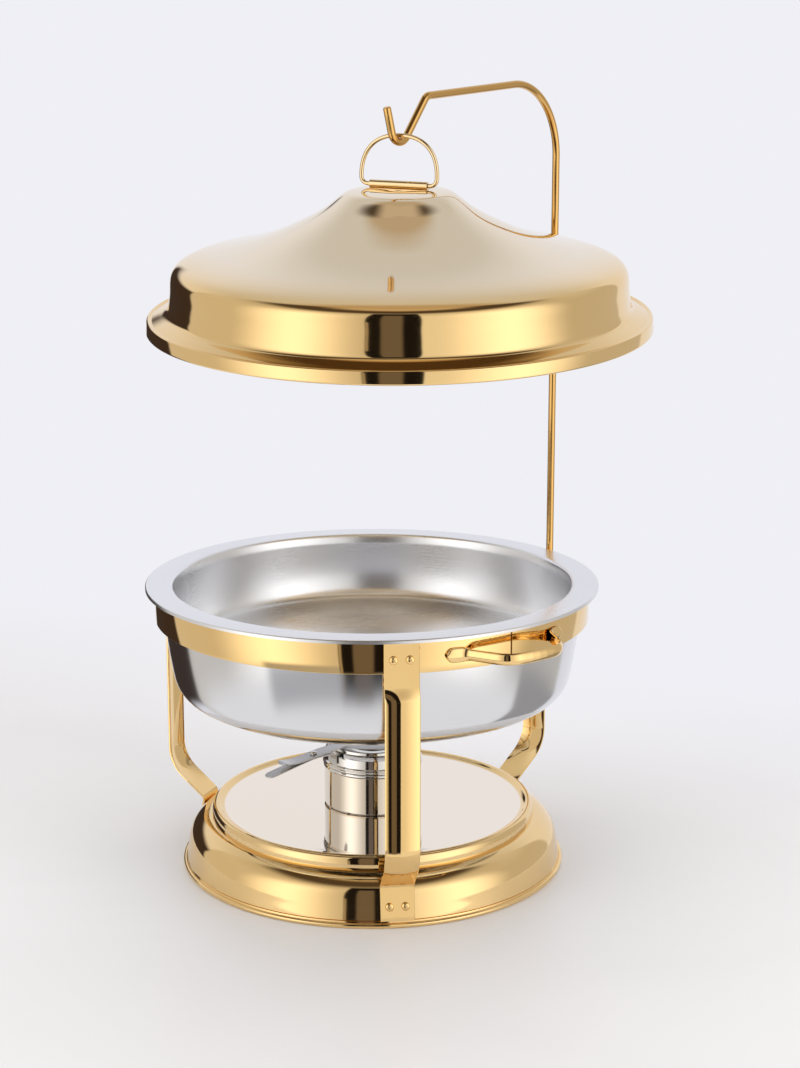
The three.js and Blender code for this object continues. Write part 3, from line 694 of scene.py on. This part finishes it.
def studio():
    """Floor whose near part shows in the polished metal, a plain wall for the view, and soft lamps."""
    turns = np.linspace(0, 2 * math.pi, 180, endpoint=False)
    n = len(turns)

    def circle(r, z=0.0):
        return [(r * math.cos(t), r * math.sin(t), z) for t in turns]

    band = [(i, (i + 1) % n, n + (i + 1) % n, n + i) for i in range(n)]
    floor, wall = floor_material(), wall_material()
    for name, points, faces, finish in (
            ("table_near", circle(NEAR), [tuple(range(n))], floor),
            ("table_far", circle(NEAR) + circle(FAR), band, floor),
            ("wall_round", circle(FAR) + circle(FAR, WALL_TOP), band, wall)):
        mesh = bpy.data.meshes.new(name)
        mesh.from_pydata(points, [], faces)
        mesh.materials.append(finish)
        stage = bpy.data.objects.new(name, mesh)
        stage.location = AXIS
        stage.visible_glossy = name == "table_near"
        stage.visible_diffuse = stage.visible_shadow = name != "wall_round"
        bpy.context.scene.collection.objects.link(stage)
    for name, energy, size, round_by, up in (("overhead", 18.0, 1.8, 0, 90), ("left", 9.0, 1.4, -55, 32),
                                             ("right", 9.0, 1.4, 55, 32)):
        lamp = bpy.data.lights.new(name, "AREA")
        lamp.energy, lamp.size = energy, size
        holder = bpy.data.objects.new(name, lamp)
        around = Quaternion((0, 0, 1), AZIMUTH + math.radians(round_by))
        tip = around @ Quaternion((1, 0, 0), math.radians(90 - up))
        holder.matrix_world = Matrix.LocRotScale(AXIS + tip @ Vector((0, 0, LAMP_AWAY)), tip, None)
        holder.visible_glossy = False
        bpy.context.scene.collection.objects.link(holder)


def surroundings():
    """Pale walls all round, soft boxes left and right of the camera, and a dark gap between them.

    turn is the direction in degrees from straight behind the camera, height is above level.
    """
    world = bpy.data.worlds.new("studio")
    bpy.context.scene.world = world
    world.use_nodes = True
    g = Graph(world.node_tree)
    way = g.node("ShaderNodeTexCoord").outputs["Generated"]
    facing = g.node("ShaderNodeVectorRotate", {"rotation_type": "Z_AXIS"}, Vector=way,
                    Angle=math.pi / 2 - AZIMUTH).outputs[0]
    split = g.node("ShaderNodeSeparateXYZ", Vector=facing)
    turn = g.math("DEGREES", g.math("ARCTAN2", split.outputs[1], split.outputs[0]))
    height = g.math("DEGREES", g.math("ARCSINE", split.outputs[2]))
    front = g.band(turn, -118.0, 114.0, 24.0)

    def patch(colour, over, turns, heights, soft=3.0, edge=3.0):
        share = g.math("MULTIPLY", g.band(turn, *turns, soft), g.band(height, *heights, edge))
        return g.mix(share, colour, tone(*over))

    colour = g.mix(g.ramp(height, 24.0, 50.0), tone(0.87, 0.87, 0.915), tone(0.68, 0.67, 0.66))
    colour = g.mix(g.ramp(height, 74.0, 84.0), colour, tone(0.60, 0.48, 0.34))
    behind = g.math("SUBTRACT", 1.0, g.band(turn, -80.0, 80.0, 30.0))
    above = g.math("MULTIPLY", behind, g.ramp(height, 60.0, 72.0))
    colour = g.mix(above, colour, tone(0.54, 0.43, 0.30))
    canopy = g.mix(g.ramp(height, 46.0, 60.0), tone(0.62, 0.58, 0.52), tone(0.09, 0.065, 0.045))
    canopy = g.mix(g.ramp(height, 68.0, 80.0), canopy, tone(0.60, 0.48, 0.34))
    colour = g.mix(g.math("MULTIPLY", front, g.ramp(height, 20.0, 50.0)), colour, canopy)
    low = g.ramp(height, 24.0, 56.0, 1.0, 0.0)
    left_glow = g.mix(g.band(turn, -72.0, -34.0, 40.0), tone(0.70, 0.66, 0.61), tone(1.62, 1.58, 1.52))
    colour = g.mix(g.math("MULTIPLY", g.band(turn, -125.0, -15.0, 3.0), low), colour, left_glow)
    right_side = g.mix(g.ramp(turn, 30.0, 90.0), tone(0.92, 0.89, 0.84), tone(0.60, 0.57, 0.53))
    right_glow = g.mix(g.band(turn, 35.0, 75.0, 40.0), right_side, tone(1.62, 1.58, 1.52))
    colour = g.mix(g.math("MULTIPLY", g.band(turn, 10.0, 136.0, 4.0), low), colour, right_glow)
    under = g.math("MULTIPLY", front, g.ramp(height, -31.0, -24.0, 1.0, 0.0))
    colour = g.mix(under, colour, tone(0.96, 0.95, 0.96))
    colour = patch(colour, (0.50, 0.50, 0.52), (-60.0, 2.0), (-34.0, -25.0), 6.0, 4.0)
    colour = patch(colour, (0.38, 0.37, 0.37), (94.0, 138.0), (-60.0, -25.0), 3.0, 4.0)
    colour = patch(colour, (0.012, 0.010, 0.010), (-16.5, 10.5), (-33.0, 52.0), 1.0, 8.0)
    colour = patch(colour, (0.45, 0.38, 0.30), (-16.1, -15.0), (-33.0, 3.0), 0.8, 4.0)
    colour = patch(colour, (0.17, 0.14, 0.12), (-9.0, 1.5), (-33.0, 40.0), 2.0, 8.0)
    colour = patch(colour, (0.05, 0.035, 0.03), (-165.0, -124.0), (-30.0, 16.0), 3.0, 8.0)
    light = g.node("ShaderNodeBackground", Color=colour, Strength=1.0).outputs[0]
    out = g.node("ShaderNodeOutputWorld")
    g.tree.links.new(light, out.inputs[0])


base()
for leg_name, leg_turn in LEG_TURNS.items():
    leg(leg_name, leg_turn)
screws()
ring()
handle("handle_right", 0)
handle("handle_left", 180)
pans()
hook()
bail()
lid()
bracket()
burner()
burner_strips()
for node_name, node in frame["nodes"].items():
    if node_name.startswith("nut_"):
        node.data.materials.clear()
        node.data.materials.append(gold)
camera()
studio()
surroundings()
bpy.context.scene.view_settings.view_transform = "Standard"
